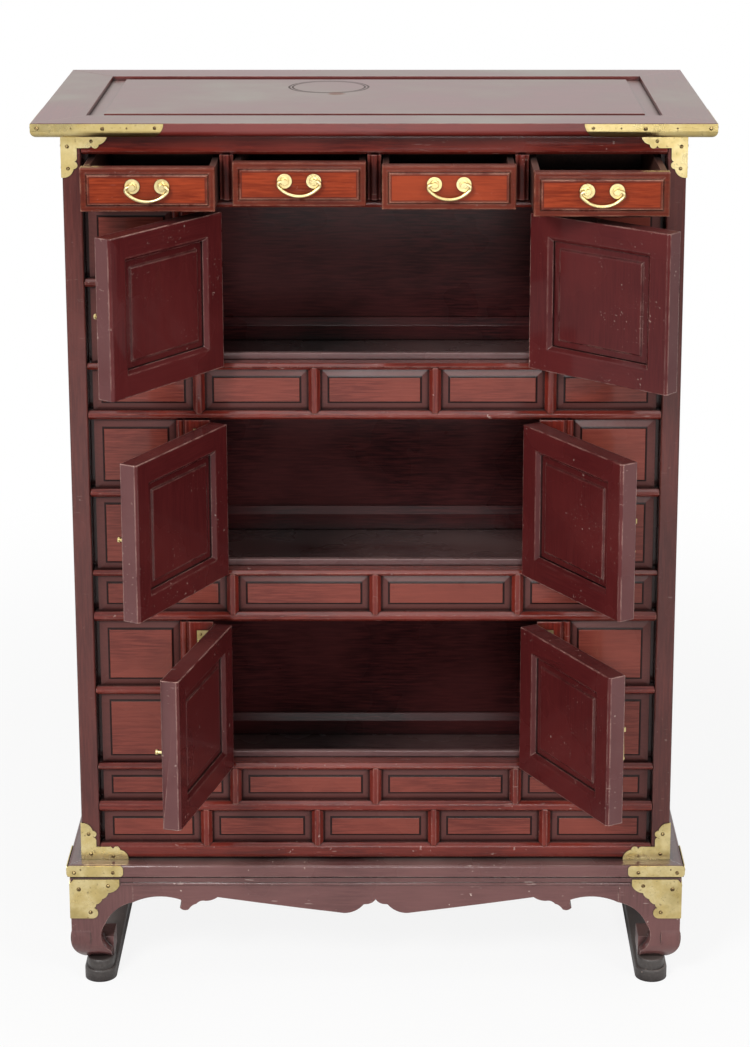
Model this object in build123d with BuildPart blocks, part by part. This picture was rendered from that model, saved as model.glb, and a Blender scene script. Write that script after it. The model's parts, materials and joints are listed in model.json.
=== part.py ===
from build123d import *
import os
from math import atan2, cos, degrees, pi, sin

os.makedirs("parts", exist_ok=True)

# Millimetres, +Z up. The origin is on the floor under the middle of the case,
# and the front of the chest faces -Y.

# ---- driving dimensions: case -------------------------------------------------
case_half = 405.0
case_front = -210.0
case_back = 210.0
case_bottom = 177.0
case_top = 1192.0
post_width = 25.0
rear_post_width = 20.0
front_post_depth = 34.0
rear_post_depth = 30.0
post_inner = case_half - post_width
rear_post_inner = case_half - rear_post_width
cell_edge = 374.0            # outer edge of the front panels, beside the posts
panel_back_step = 10.0       # panel faces lie this far behind the rail fronts
panel_thick = 7.0
rail_depth = 24.0
sill_depth = 45.0
arris = 4.0                  # flat cut along the front edges of rails
lap = 2.0                    # how far a panel runs behind a rail's front edge

# ---- driving dimensions: tiers, as rail edges from the top down ----------------
drawer_rail = (1094.0, 1104.0)
top_rail = (1164.0, case_top)
tiers = {
    "upper": {"open": (884.0, 1094.0), "split": 993.0, "sill": (875.0, 884.0), "floor": 816.0},
    "middle": {"open": (596.0, 807.0), "split": 705.0, "sill": (588.0, 596.0), "floor": 524.0},
    "lower": {"open": (318.0, 524.0), "split": 424.0, "sill": (308.0, 318.0), "floor": 196.0},
}
cross_rails = {"under_upper": (807.0, 819.0), "under_middle": (524.0, 537.0), "low": (247.0, 262.0)}
foot_rail = (case_bottom, 200.0)
split_rail = 11.0
hinge_x = 219.0              # edge of the door openings
stile_outer = 254.0
bead_outer = 264.0
muntin_width = 16.0
muntin_arris = 5.0
five_row = (-233.0, -80.0, 80.0, 233.0)
four_row = (-192.0, 0.0, 192.0)
panel_rows = (
    (819.0, 875.0, five_row),
    (537.0, 588.0, four_row),
    (262.0, 308.0, four_row),
    (200.0, 247.0, five_row),
)

# ---- driving dimensions: top ---------------------------------------------------
top_half = 440.0
top_front = -240.0
top_back = 230.0
top_thick = 18.0
top_z = case_top + top_thick
top_member = 64.0
top_edge_round = 8.0

# ---- driving dimensions: stand -------------------------------------------------
base_half = 424.0
base_front = -230.0
base_back = 216.0
base_z = (157.0, case_bottom)
base_member = 70.0
leg_half = 421.0
leg_front = -226.0
leg_back = 212.0
leg_top = 157.0
leg_foot = 32.0              # underside of the legs, on their pads
leg_board = 26.0
leg_wing = 86.0
runner_thick = 17.0
runner_x = (362.0, 406.0)
pad_x = (365.0, 402.0)
pad_reach = 62.0             # pad's length back from its nose
apron_board = 22.0

# ---- driving dimensions: doors, drawers, brass ----------------------------------
door_thick = 24.0
door_gap = 1.0
door_stile = 34.0
pivot_proud = 3.2            # hinge axis in front of the case
knuckle_radius = 3.0
pin_radius = 1.3
pin_play = 0.06
hinge_height = 36.0
leaf_width = 22.0
leaf_thick = 1.2
leaf_start = 2.9             # leaf's near edge from the hinge axis
open_angles = {
    "upper_left": 126.0, "middle_left": 118.0, "lower_left": 105.0,
    "upper_right": 140.0, "middle_right": 122.0, "lower_right": 119.0,
}
drawer_centres = (-287.5, -96.0, 96.0, 287.5)
drawer_out = (83.0, 46.0, 68.0, 114.0)
drawer_width = 171.5
drawer_height = 57.0
drawer_depth = 320.0
divider_width = 18.0
brass_thick = 1.2


def keep(builder, label):
    """Name a finished sub-part and write it to its own file."""
    builder.part.label = label
    export_step(builder.part, "parts/" + label + ".step")


def keep_group(builders, label):
    """Write separate boards that only touch as one node of several solids."""
    group = Compound(label=label, children=[builder.part for builder in builders])
    export_step(group, "parts/" + label + ".step")


def board(x, y, z):
    """A separate square-edged board between two values on each axis."""
    with BuildPart() as piece:
        block(x, y, z)
    return piece


def block(x, y, z, mode=Mode.ADD):
    """A box between two values on each axis, added to the part being built."""
    size = (x[1] - x[0], y[1] - y[0], z[1] - z[0])
    with Locations(((x[0] + x[1]) / 2, (y[0] + y[1]) / 2, (z[0] + z[1]) / 2)):
        Box(*size, mode=mode)


def prism(plane, points, length, mode=Mode.ADD, taper=0.0):
    """A straight-sided outline on a plane, extruded along the plane's normal."""
    with BuildSketch(plane) as outline:
        with BuildLine():
            Polyline(*points, close=True)
        make_face()
    extrude(outline.sketch, amount=length, mode=mode, taper=taper)


# ======== front of the case =====================================================

def rail_outline(z, depth, lap_low=lap, lap_high=lap):
    """Section of a front rail: cut arrises in front, panel laps behind them."""
    face = case_front
    panel_face = case_front + panel_back_step
    back = case_front + depth
    low, high = z
    return (
        (face, low + arris), (face + arris, low), (panel_face, low), (panel_face, low + lap_low),
        (back, low + lap_low), (back, high - lap_high), (panel_face, high - lap_high),
        (panel_face, high), (face + arris, high), (face, high - arris),
    )


def clean(points):
    """The outline without points that fall together when a lap is zero."""
    kept = []
    for point in points:
        if not kept or point != kept[-1]:
            kept.append(point)
    return kept


def front_rail(x, z, depth, lap_low=lap, lap_high=lap):
    prism(Plane.YZ.offset(x[0]), clean(rail_outline(z, depth, lap_low, lap_high)), x[1] - x[0])


with BuildPart() as front_rails:
    across = (-post_inner, post_inner)
    front_rail(across, top_rail, rail_depth, 0, 0)
    front_rail(across, drawer_rail, sill_depth, 0, 0)
    for tier in tiers.values():
        front_rail(across, tier["sill"], sill_depth, lap, 0)
    front_rail(across, cross_rails["under_upper"], sill_depth, 0, lap)
    front_rail(across, cross_rails["under_middle"], sill_depth, 0, lap)
    front_rail(across, cross_rails["low"], rail_depth)
    front_rail(across, foot_rail, rail_depth, 0, lap)
    for tier in tiers.values():
        split = (tier["split"] - split_rail / 2, tier["split"] + split_rail / 2)
        for x in ((-post_inner, -bead_outer), (bead_outer, post_inner)):
            front_rail(x, split, rail_depth)
keep(front_rails, "front_rails")


def muntin_outline(x, depth=rail_depth):
    """Plan of an upright between two panels."""
    low, high = x - muntin_width / 2, x + muntin_width / 2
    face = case_front
    panel_face = case_front + panel_back_step
    return (
        (low + muntin_arris, face), (high - muntin_arris, face), (high, face + muntin_arris), (high, panel_face),
        (high - lap, panel_face), (high - lap, face + depth), (low + lap, face + depth),
        (low + lap, panel_face), (low, panel_face), (low, face + muntin_arris),
    )


with BuildPart() as front_muntins:
    for low, high, places in panel_rows:
        for x in places:
            prism(Plane.XY.offset(low - arris), muntin_outline(x), high - low + 2 * arris)
    add(front_rails.part, mode=Mode.SUBTRACT)

divider_outline_half = divider_width / 2
with BuildPart() as drawer_dividers:
    for x in four_row:
        outline = (
            (x - 3, case_front), (x + 3, case_front), (x + 6, case_front + 3),
            (x + divider_outline_half, case_front + 3), (x + divider_outline_half, case_front + sill_depth),
            (x - divider_outline_half, case_front + sill_depth), (x - divider_outline_half, case_front + 3),
            (x - 6, case_front + 3),
        )
        prism(Plane.XY.offset(drawer_rail[1]), outline, top_rail[0] - drawer_rail[1])
keep(drawer_dividers, "drawer_dividers")


def stile_outline(side):
    """Plan of a hinge stile, with a bead along its outer edge."""
    face = case_front
    panel_face = face + panel_back_step
    points = (
        (hinge_x, face), (stile_outer - 3, face), (stile_outer - 1, face + 2), (stile_outer, face + 3),
        (stile_outer + 3, face), (bead_outer - 3, face), (bead_outer, face + 3), (bead_outer, panel_face),
        (bead_outer - lap, panel_face), (bead_outer - lap, face + rail_depth), (hinge_x, face + rail_depth),
    )
    return [(side * x, y) for x, y in points]


with BuildPart() as hinge_stiles:
    for tier in tiers.values():
        low, high = tier["open"]
        for side in (-1, 1):
            prism(Plane.XY.offset(low), stile_outline(side), high - low)
keep_group([front_muntins, hinge_stiles], "front_uprights")


margin_rise = 2.2            # slope from a panel's groove up to its field
field_rise = 1.5


def fielded_panel(plane, size, border):
    """A panel on a plane whose normal points outwards: a sloping margin, then a stepped field."""
    start = lap + 0.6
    with BuildSketch(plane) as board:
        Rectangle(size[0], size[1])
    extrude(board.sketch, amount=-panel_thick)
    with BuildSketch(plane) as margin:
        Rectangle(size[0] - 2 * start, size[1] - 2 * start)
    extrude(margin.sketch, amount=margin_rise, taper=degrees(atan2(border - start, margin_rise)))
    with BuildSketch(plane.offset(margin_rise)) as field:
        Rectangle(size[0] - 2 * border - 1, size[1] - 2 * border - 1)
    extrude(field.sketch, amount=field_rise, taper=12)


def front_plane(x, z, step=panel_back_step):
    return Plane(origin=(x, case_front + step, z), x_dir=(1, 0, 0), z_dir=(0, -1, 0))


def front_panel(x, z, grow_x=(lap, lap)):
    """A front panel filling a cell, run behind the rails round it."""
    low, high = x[0] - grow_x[0], x[1] + grow_x[1]
    centre = ((low + high) / 2, (z[0] + z[1]) / 2)
    size = (high - low, z[1] - z[0] + 2 * lap)
    fielded_panel(front_plane(*centre), size, 13.0)


with BuildPart() as row_panels:
    for low, high, places in panel_rows:
        edges = (-cell_edge,) + places + (cell_edge,)
        for index, left in enumerate(edges[:-1]):
            right = edges[index + 1]
            first = index == 0
            last = index == len(edges) - 2
            x = (left + (0 if first else muntin_width / 2), right - (0 if last else muntin_width / 2))
            front_panel(x, (low, high), (0 if first else lap, 0 if last else lap))

with BuildPart() as column_panels:
    for tier in tiers.values():
        low, high = tier["open"]
        for z in ((low - lap, tier["split"] - split_rail / 2), (tier["split"] + split_rail / 2, high - lap)):
            front_panel((-cell_edge, -bead_outer), (z[0] + (lap if z[0] < low else 0), z[1]), (0, lap))
            front_panel((bead_outer, cell_edge), (z[0] + (lap if z[0] < low else 0), z[1]), (lap, 0))
    add(front_rails.part, mode=Mode.SUBTRACT)
keep_group([row_panels, column_panels], "front_panels")

# ======== posts, sides, back ====================================================

post_fin = post_inner - cell_edge + 0.5
fin_face = case_front + 22.0

with BuildPart() as corner_posts:
    for side in (-1, 1):
        x0, x1, rear = side * post_inner, side * case_half, side * rear_post_inner
        front = (
            (x0, case_front + 1.5), (x0 + side * 1.5, case_front), (x1 - side * 2, case_front),
            (x1, case_front + 2), (x1, case_front + front_post_depth), (x0 - side * post_fin, case_front + front_post_depth),
            (x0 - side * post_fin, fin_face + 3), (x0, fin_face + 3),
        )
        prism(Plane.XY.offset(case_bottom), front, case_top - case_bottom)
        back = (
            (rear, case_back - rear_post_depth), (x1, case_back - rear_post_depth), (x1, case_back - 2),
            (x1 - side * 2, case_back), (rear, case_back),
        )
        prism(Plane.XY.offset(case_bottom), back, case_top - case_bottom)
    add(front_rails.part, mode=Mode.SUBTRACT)
keep(corner_posts, "corner_posts")

side_face = case_half - 3.0
side_rail_thick = 17.0
side_y = (case_front + front_post_depth, case_back - rear_post_depth)
side_rails = ((case_bottom, 214.0), (500.0, 540.0), (790.0, 830.0), (1150.0, case_top))
side_middle = (side_y[0] + side_y[1]) / 2
side_muntin = 34.0

side_cells = list(zip(side_rails[:-1], side_rails[1:]))
side_frames = []
for side in (-1, 1):
    x = sorted((side * (side_face - side_rail_thick), side * side_face))
    side_frames += [board(x, side_y, z) for z in side_rails]
    for low, high in side_cells:
        muntin_y = (side_middle - side_muntin / 2, side_middle + side_muntin / 2)
        side_frames.append(board(x, muntin_y, (low[1], high[0])))
keep_group(side_frames, "side_frames")

with BuildPart() as side_panels:
    for side in (-1, 1):
        for low, high in side_cells:
            for y in ((side_y[0], side_middle - side_muntin / 2), (side_middle + side_muntin / 2, side_y[1])):
                origin = (side * (side_face - 6.0), (y[0] + y[1]) / 2, (low[1] + high[0]) / 2)
                plane = Plane(origin=origin, x_dir=(0, side, 0), z_dir=(side, 0, 0))
                fielded_panel(plane, (y[1] - y[0], high[0] - low[1]), 20.0)
keep(side_panels, "side_panels")

back_inner = 190.0
back_frame_face = case_back - 2.0
back_panel_y = (back_inner + 6, back_inner + 12)
back_slope = 12.0            # bevel along the inner edges of the back rails
back_rails = ((case_bottom + 12, 230.0), (524.0, 560.0), (816.0, 850.0), (1150.0, case_top))
back_middle = 30.0



def back_rail(z):
    """A rail across the back, its inner upper edge sloped down from the panel above it."""
    section = (
        (back_inner, z[0]), (back_frame_face, z[0]), (back_frame_face, z[1]), (back_inner + 5, z[1]),
        (back_inner, z[1] - back_slope),
    )
    with BuildPart() as piece:
        prism(Plane.YZ.offset(-rear_post_inner), section, 2 * rear_post_inner)
    return piece


back_frame = [back_rail(z) for z in back_rails]
for low, high in zip(back_rails[:-1], back_rails[1:]):
    muntin_y = (back_panel_y[1], back_frame_face)
    back_frame.append(board((-back_middle / 2, back_middle / 2), muntin_y, (low[1], high[0])))
keep_group(back_frame, "back_frame")

with BuildPart() as back_panels:
    for low, high in zip(back_rails[:-1], back_rails[1:]):
        block((-rear_post_inner, rear_post_inner), back_panel_y, (low[1], high[0]))
keep(back_panels, "back_panels")

inner_half = side_face - side_rail_thick
floor_thick = 8.0

shelf_x = (-inner_half, inner_half)
shelf_y = (case_front + sill_depth, back_inner)
shelves = [board(shelf_x, shelf_y, (tier["floor"] - floor_thick, tier["floor"])) for tier in tiers.values()]
deck_top = drawer_rail[1] - 0.2
shelves.append(board(shelf_x, shelf_y, (deck_top - floor_thick, deck_top)))
shelves += [board((x - 4, x + 4), shelf_y, (deck_top, deck_top + 20)) for x in four_row]
keep_group(shelves, "shelves_and_guides")

stop_gap = 0.6
with BuildPart() as door_stops:
    for tier in tiers.values():
        stop_y = case_front + door_thick + stop_gap
        block((-hinge_x, hinge_x), (stop_y, stop_y + 8), (tier["open"][0], tier["open"][0] + 9))
keep(door_stops, "door_stops")

# ======== top ===================================================================

def rectangle_corners(x, y):
    return ((x[0], y[0]), (x[1], y[0]), (x[1], y[1]), (x[0], y[1]))


def mitred_frame(corners, section, width, z, height):
    """Four moulded members round a rectangle, mitred at its corners.

    The section is drawn with its first axis inwards from the outer edge."""
    members = []
    for index in range(4):
        start = Vector(*corners[index])
        end = Vector(*corners[(index + 1) % 4])
        along = (end - start).normalized()
        inward = along.rotate(Axis.Z, 90)
        plane = Plane(origin=(start.X, start.Y, z), x_dir=inward, z_dir=along)
        outer = [start - (along + inward), end + (along - inward)]
        inner = [end - (along - inward) * (width + 1), start + (along + inward) * (width + 1)]
        with BuildPart() as member:
            with BuildSketch(plane):
                with BuildLine():
                    section()
                make_face()
            extrude(amount=(end - start).length)
            prism(Plane.XY.offset(z - 1), [(p.X, p.Y) for p in outer + inner], height + 2, mode=Mode.INTERSECT)
        members.append(member)
    return members


panel_tongue = 6.0
groove_height = 8.0
top_corners = rectangle_corners((-top_half, top_half), (top_front, top_back))


def top_section():
    """Square upper arris, round under edge, and the rebate for the panel."""
    ThreePointArc((0, top_edge_round), (top_edge_round * (1 - cos(pi / 4)), top_edge_round * (1 - sin(pi / 4))),
                  (top_edge_round, 0))
    Polyline((top_edge_round, 0), (top_member - panel_tongue, 0), (top_member - panel_tongue, groove_height),
             (top_member, groove_height), (top_member, top_thick), (0, top_thick), (0, top_edge_round))


keep_group(mitred_frame(top_corners, top_section, top_member, case_top, top_thick), "top_frame")


def top_slab(grow=0.0):
    """The whole top with its rounded lower edge, larger by grow all round."""
    x_size = 2 * top_half + 2 * grow
    y_size = top_back - top_front + 2 * grow
    with BuildPart() as slab:
        with BuildSketch(Plane.XY.offset(case_top - grow)):
            with Locations((0, (top_front + top_back) / 2)):
                Rectangle(x_size, y_size)
        extrude(amount=top_thick + grow)
        fillet(slab.faces().sort_by(Axis.Z)[0].edges(), top_edge_round + grow)
    return slab.part


whole_top = top_slab()
plated_top = top_slab(1.0)


field_drop = 1.2             # field below the frame's upper face
field_step = 3.3             # upright edge of the field
field_band = 21.0            # width of the slope round the field
groove_drop = 6.0            # slope's outer edge below the frame's upper face
panel_play = 0.25
with BuildPart() as top_panel:
    edge = top_member - panel_tongue
    panel_x = (-top_half + edge, top_half - edge)
    panel_y = (top_front + edge, top_back - edge)
    block(panel_x, panel_y, (case_top, case_top + 7))
    inset = panel_tongue + panel_play
    block((panel_x[0] + inset, panel_x[1] - inset), (panel_y[0] + inset, panel_y[1] - inset),
          (case_top + 7, top_z - groove_drop))
    size = (panel_x[1] - panel_x[0], panel_y[1] - panel_y[0])
    band = inset + field_band
    for height, border in ((top_z - groove_drop, inset), (top_z - field_drop - field_step, band)):
        with BuildSketch(Plane.XY.offset(height)):
            with Locations((0, (panel_y[0] + panel_y[1]) / 2)):
                Rectangle(size[0] - 2 * border, size[1] - 2 * border)
    loft()
    block((panel_x[0] + band, panel_x[1] - band), (panel_y[0] + band, panel_y[1] - band),
          (top_z - field_drop - field_step, top_z - field_drop))
keep(top_panel, "top_panel")

# ======== stand =================================================================

base_height = base_z[1] - base_z[0]
base_round = 4.0
base_quirk = 3.0             # groove under the moulding
base_corners = rectangle_corners((-base_half, base_half), (base_front, base_back))


def base_section():
    """Rounded upper edge, and a groove along the lower one."""
    ThreePointArc((base_round, base_height), (base_round * (1 - cos(pi / 4)), base_height - base_round * (1 - sin(pi / 4))),
                  (0, base_height - base_round))
    Polyline((0, base_height - base_round), (0, base_quirk), (base_quirk + 4, base_quirk), (base_quirk + 4, 0),
             (base_member, 0), (base_member, base_height),
             (base_round, base_height))


keep_group(mitred_frame(base_corners, base_section, base_member, base_z[0], base_height), "base_moulding")

# C-curved edge of a leg, from the outer edge inwards, above the floor
leg_curve_start = (leg_wing, 120.0)
leg_curve_mid = (62.0, 108.5)
leg_curve_end = (46.5, 87.0)
leg_throat_mid = (40.8, 66.0)
leg_throat_end = (50.0, 47.5)
leg_toe = 54.0
leg_toe_top = 44.5
leg_heel = 16.0
ankle_mid = (3.0, 47.0)
ankle_top = (0.0, 78.0)


def leg_face(plane, flip):
    """Outline of one board of a leg, on a plane through its outer face."""
    def at(point):
        return (flip * point[0], point[1])
    with BuildSketch(plane) as face:
        with BuildLine():
            Polyline(at(ankle_top), at((0, leg_top)), at((leg_wing, leg_top)), at(leg_curve_start))
            ThreePointArc(at(leg_curve_start), at(leg_curve_mid), at(leg_curve_end))
            ThreePointArc(at(leg_curve_end), at(leg_throat_mid), at(leg_throat_end))
            Polyline(at(leg_throat_end), at((leg_toe, leg_toe_top)), at((leg_toe, leg_foot)), at((leg_heel, leg_foot)))
            ThreePointArc(at((leg_heel, leg_foot)), at(ankle_mid), at(ankle_top))
        make_face()
    return face.sketch


def ankle_waste(plane, flip):
    """The corner of the block that the ankle's curve takes away."""
    def at(point):
        return (flip * point[0], point[1])
    with BuildSketch(plane) as waste:
        with BuildLine():
            ThreePointArc(at((leg_heel, leg_foot)), at(ankle_mid), at(ankle_top))
            Polyline(at(ankle_top), at((-2, ankle_top[1])), at((-2, leg_foot)), at((leg_heel, leg_foot)))
        make_face()
    return waste.sketch


def leg(side, end):
    """A corner leg: two curved boards meeting at the corner, on a small block."""
    x_outer = side * leg_half
    y_outer = leg_front if end < 0 else leg_back
    face = Plane(origin=(x_outer, y_outer, 0), x_dir=(1, 0, 0), z_dir=(0, -1, 0))
    flank = Plane(origin=(x_outer, y_outer, 0), x_dir=(0, 1, 0), z_dir=(1, 0, 0))
    with BuildPart() as corner:
        extrude(leg_face(face, -side), amount=end * leg_board)
        extrude(leg_face(flank, -end), amount=-side * leg_board)
        extrude(ankle_waste(face, -side), amount=end * (leg_wing + 5), mode=Mode.SUBTRACT)
        extrude(ankle_waste(flank, -end), amount=-side * (leg_wing + 5), mode=Mode.SUBTRACT)
        x = sorted((side * (leg_half - 19), side * pad_x[0]))
        y = sorted((y_outer - end * 18, y_outer - end * (pad_reach - 4)))
        block(x, y, (leg_foot, leg_foot + 28))
    return corner


for end, end_name in ((-1, "front"), (1, "rear")):
    keep_group([leg(-1, end), leg(1, end)], "legs_" + end_name)



def round_nosed(x, y, z):
    """A strip with half-round ends in plan and its upper edge eased."""
    with BuildPart() as strip:
        with BuildSketch(Plane.XY.offset(z[0])):
            with Locations(((x[0] + x[1]) / 2, (y[0] + y[1]) / 2)):
                RectangleRounded(x[1] - x[0], y[1] - y[0], (x[1] - x[0]) / 2 - 0.5)
        extrude(amount=z[1] - z[0])
        fillet(strip.faces().sort_by(Axis.Z)[-1].edges(), 2.5)
    return strip


foot_strips = []
for side in (-1, 1):
    x = sorted((side * runner_x[0], side * runner_x[1]))
    foot_strips.append(round_nosed(x, (leg_front - 1, leg_back + 1), (0, runner_thick)))
    x = sorted((side * pad_x[0], side * pad_x[1]))
    for y in ((leg_front + 1, leg_front + pad_reach), (leg_back - pad_reach, leg_back - 1)):
        foot_strips.append(round_nosed(x, y, (runner_thick, leg_foot)))
keep_group(foot_strips, "foot_runners")

# Scalloped lower edge of the front apron, from the middle outwards
apron_cusp = (0.0, 124.5)
apron_step = ((13.0, 117.3), (16.5, 117.0))
apron_belly = (43.5, 104.0)
apron_shoulder = (218.0, 127.8)
apron_scallops = ((235.0, 122.2), (247.6, 117.8), (258.0, 109.7))
apron_hook = ((270.5, 112.0), (269.2, 124.0))
apron_arch_mid = (291.0, 128.6)
apron_end = (leg_half - leg_wing, leg_curve_start[1])


def apron_edge(side):
    """Half of the apron's lower edge, as lines and arcs."""
    def at(point):
        return (side * point[0], point[1])
    ThreePointArc(at(apron_cusp), at((5.0, 119.6)), at(apron_step[0]))
    Line(at(apron_step[0]), at(apron_step[1]))
    ThreePointArc(at(apron_step[1]), at((28.5, 107.4)), at(apron_belly))
    ThreePointArc(at(apron_belly), at((125.0, 114.6)), at(apron_shoulder))
    ThreePointArc(at(apron_shoulder), at((226.0, 123.6)), at(apron_scallops[0]))
    ThreePointArc(at(apron_scallops[0]), at((242.6, 121.6)), at(apron_scallops[1]))
    ThreePointArc(at(apron_scallops[1]), at((253.8, 114.8)), at(apron_scallops[2]))
    ThreePointArc(at(apron_scallops[2]), at((264.8, 108.4)), at(apron_hook[0]))
    ThreePointArc(at(apron_hook[0]), at((268.2, 118.0)), at(apron_hook[1]))
    ThreePointArc(at(apron_hook[1]), at(apron_arch_mid), at(apron_end))


bead_radius = 2.0
bead_z = 148.0
bead_end = leg_half - 70.0
with BuildPart() as front_apron:
    apron_plane = Plane(origin=(0, leg_front, 0), x_dir=(1, 0, 0), z_dir=(0, -1, 0))
    with BuildSketch(apron_plane):
        with BuildLine():
            apron_edge(1)
            apron_edge(-1)
            Polyline((apron_end[0], apron_end[1]), (apron_end[0], leg_top), (-apron_end[0], leg_top),
                     (-apron_end[0], apron_end[1]))
        make_face()
    extrude(amount=-apron_board)
    with BuildSketch(Plane.YZ.offset(-bead_end)) as bead:
        with BuildLine():
            Line((leg_front, bead_z + bead_radius), (leg_front, bead_z - bead_radius))
            ThreePointArc((leg_front, bead_z - bead_radius), (leg_front - bead_radius, bead_z),
                          (leg_front, bead_z + bead_radius))
        make_face()
    extrude(bead.sketch, amount=2 * bead_end)
keep(front_apron, "front_apron")

side_apron_y = (leg_front + leg_wing, leg_back - leg_wing)
side_low = leg_curve_start[1]
with BuildPart() as side_aprons:
    for side in (-1, 1):
        plane = Plane.YZ.offset(side * leg_half)
        with BuildSketch(plane):
            with BuildLine():
                span = (side_apron_y[0] + side_apron_y[1]) / 2
                Polyline((side_apron_y[0], side_low), (side_apron_y[0], leg_top), (side_apron_y[1], leg_top),
                         (side_apron_y[1], side_low))
                ThreePointArc((side_apron_y[0], side_low), (span - 88, 129.0), (span - 50, 122.0))
                ThreePointArc((span - 50, 122.0), (span - 24, 111.0), (span, 124.0))
                ThreePointArc((span, 124.0), (span + 24, 111.0), (span + 50, 122.0))
                ThreePointArc((span + 50, 122.0), (span + 88, 129.0), (side_apron_y[1], side_low))
            make_face()
        extrude(amount=-side * apron_board)

with BuildPart() as rear_rail:
    block((-apron_end[0], apron_end[0]), (leg_back - apron_board, leg_back - 1), (118.0, leg_top))
keep_group([side_aprons, rear_rail], "side_and_rear_aprons")

# ======== brass on the case and stand ===========================================

def scalloped_arm(length, width, start):
    """Curves of one bracket arm's free edge, from the inner corner to the tip.

    The arm runs along the first axis and is width deep on the second."""
    neck = length - 21.0
    return (
        ((start, width), None, (neck - 6, width)),
        ((neck - 6, width), (neck - 2, width - 0.8), (neck, width - 3.5)),
        ((neck, width - 3.5), (neck + 5, width + 0.5), (neck + 9.5, width - 4.5)),
        ((neck + 9.5, width - 4.5), (neck + 17.5, width - 9.0), (length, 0)),
    )


def corner_bracket(plane, arm, upright, width, flip=(1, 1)):
    """An L-shaped plate with a scalloped inner edge; its outer corner is at the origin."""
    def at(u, v):
        return (flip[0] * u, flip[1] * v)
    with BuildSketch(plane) as plate:
        with BuildLine():
            for start, middle, end in scalloped_arm(arm, width[1], width[0]):
                if middle is None:
                    Line(at(*start), at(*end))
                else:
                    ThreePointArc(at(*start), at(*middle), at(*end))
            Polyline(at(arm, 0), at(0, 0), at(0, upright))
            for start, middle, end in scalloped_arm(upright, width[0], width[1]):
                if middle is None:
                    Line(at(start[1], start[0]), at(end[1], end[0]))
                else:
                    ThreePointArc(at(start[1], start[0]), at(middle[1], middle[0]), at(end[1], end[0]))
        make_face()
    extrude(plate.sketch, amount=brass_thick)


def facing(x, y, z):
    return Plane(origin=(x, y, z), x_dir=(1, 0, 0), z_dir=(0, -1, 0))


def flank(side, half, y, z):
    """Plane on a side face, upright, with its first axis along side * Y."""
    return Plane(origin=(side * half, y, z), x_dir=(0, side, 0), z_dir=(side, 0, 0))


with BuildPart() as case_brackets:
    for side in (-1, 1):
        for z, up, size in ((case_top, -1, (60.0, 58.0)), (case_bottom, 1, (64.0, 54.0))):
            outer = side * (case_half + brass_thick)
            corner_bracket(facing(outer, case_front, z), size[0] + 1, size[1], (21.0, 19.0), (-side, up))
            corner_bracket(flank(side, case_half, case_front, z), 52.0, size[1], (18.0, 19.0), (side, up))
    block((-case_half - 2, case_half + 2), (case_front - 2, case_front + 60), (case_top, case_top + 1), Mode.SUBTRACT)


scallop_bulge = 0.14         # rise of each scallop over its own chord
plate_top = leg_top - 2.5


def leg_bracket(plane, flip):
    """A leg plate with a stepped, scalloped diagonal edge and a round lobe."""
    points = (
        (69.0, 0.0), (69.0, 9.0), (53.5, 20.0), (45.0, 29.0), (36.5, 37.0), (33.0, 42.5),
    )

    def at(point):
        return (flip * point[0], -point[1])
    with BuildSketch(plane) as plate:
        with BuildLine():
            Polyline(at((0, 58.0)), at((0, 7.0)), at((6.0, 0)), at(points[0]), at(points[1]))
            for start, end in zip(points[1:-1], points[2:]):
                middle = ((start[0] + end[0]) / 2 + scallop_bulge * (end[1] - start[1]),
                          (start[1] + end[1]) / 2 + scallop_bulge * (start[0] - end[0]))
                ThreePointArc(at(start), at(middle), at(end))
            ThreePointArc(at(points[-1]), at((38.8, 50.5)), at((30.0, 58.0)))
            Line(at((30.0, 58.0)), at((0, 58.0)))
        make_face()
    extrude(plate.sketch, amount=brass_thick)


with BuildPart() as leg_front_plates:
    for side in (-1, 1):
        leg_bracket(facing(side * (leg_half + brass_thick), leg_front, plate_top), -side)

with BuildPart() as leg_side_plates:
    for side in (-1, 1):
        leg_bracket(flank(side, leg_half, leg_front, plate_top), side)

strap_height = base_height - base_quirk
strap_z = base_z[1] - strap_height / 2
with BuildPart() as base_straps:
    for side in (-1, 1):
        outer = side * (base_half + brass_thick)
        with BuildSketch(facing(outer - side * 39, base_front, strap_z)):
            RectangleRounded(78, strap_height - 1, 5)
        extrude(amount=brass_thick)
        with BuildSketch(flank(side, base_half, base_front + 35, strap_z)):
            RectangleRounded(70, strap_height - 1, 5)
        extrude(amount=brass_thick)
keep_group([leg_front_plates, leg_side_plates, base_straps], "stand_brass")

top_strap = 172.0
top_strap_side = 120.0
strap_planes = []
for side in (-1, 1):
    outer = side * (top_half + 2)
    strap_planes.append((facing(outer, top_front - 2, top_z), -side * top_strap, -side))
    strap_planes.append((flank(side, top_half + 2, top_front - 2, top_z), side * top_strap_side, side))

with BuildPart() as strap_reach:
    for plane, reach, step in strap_planes:
        low = -top_thick - 2
        with BuildSketch(plane):
            with BuildLine():
                Polyline((0, low), (0, -0.6), (reach, -0.6), (reach, -2))
                ThreePointArc((reach, -2), (reach - step * 5, -13), (reach - step * 22, low))
                Line((reach - step * 22, low), (0, low))
            make_face()
        extrude(amount=-top_edge_round - 4)

with BuildPart() as top_straps:
    add(plated_top)
    add(whole_top, mode=Mode.SUBTRACT)
    add(strap_reach.part, mode=Mode.INTERSECT)
keep_group([case_brackets, top_straps], "case_brass")

# ======== hinges ================================================================

hinge_drop = 30.0            # hinge middles above and below a door's edges
third = hinge_height / 3
pivot_y = case_front - pivot_proud


def hinge_heights(tier):
    low, high = tiers[tier]["open"]
    return (low + hinge_drop, high - hinge_drop)


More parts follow.
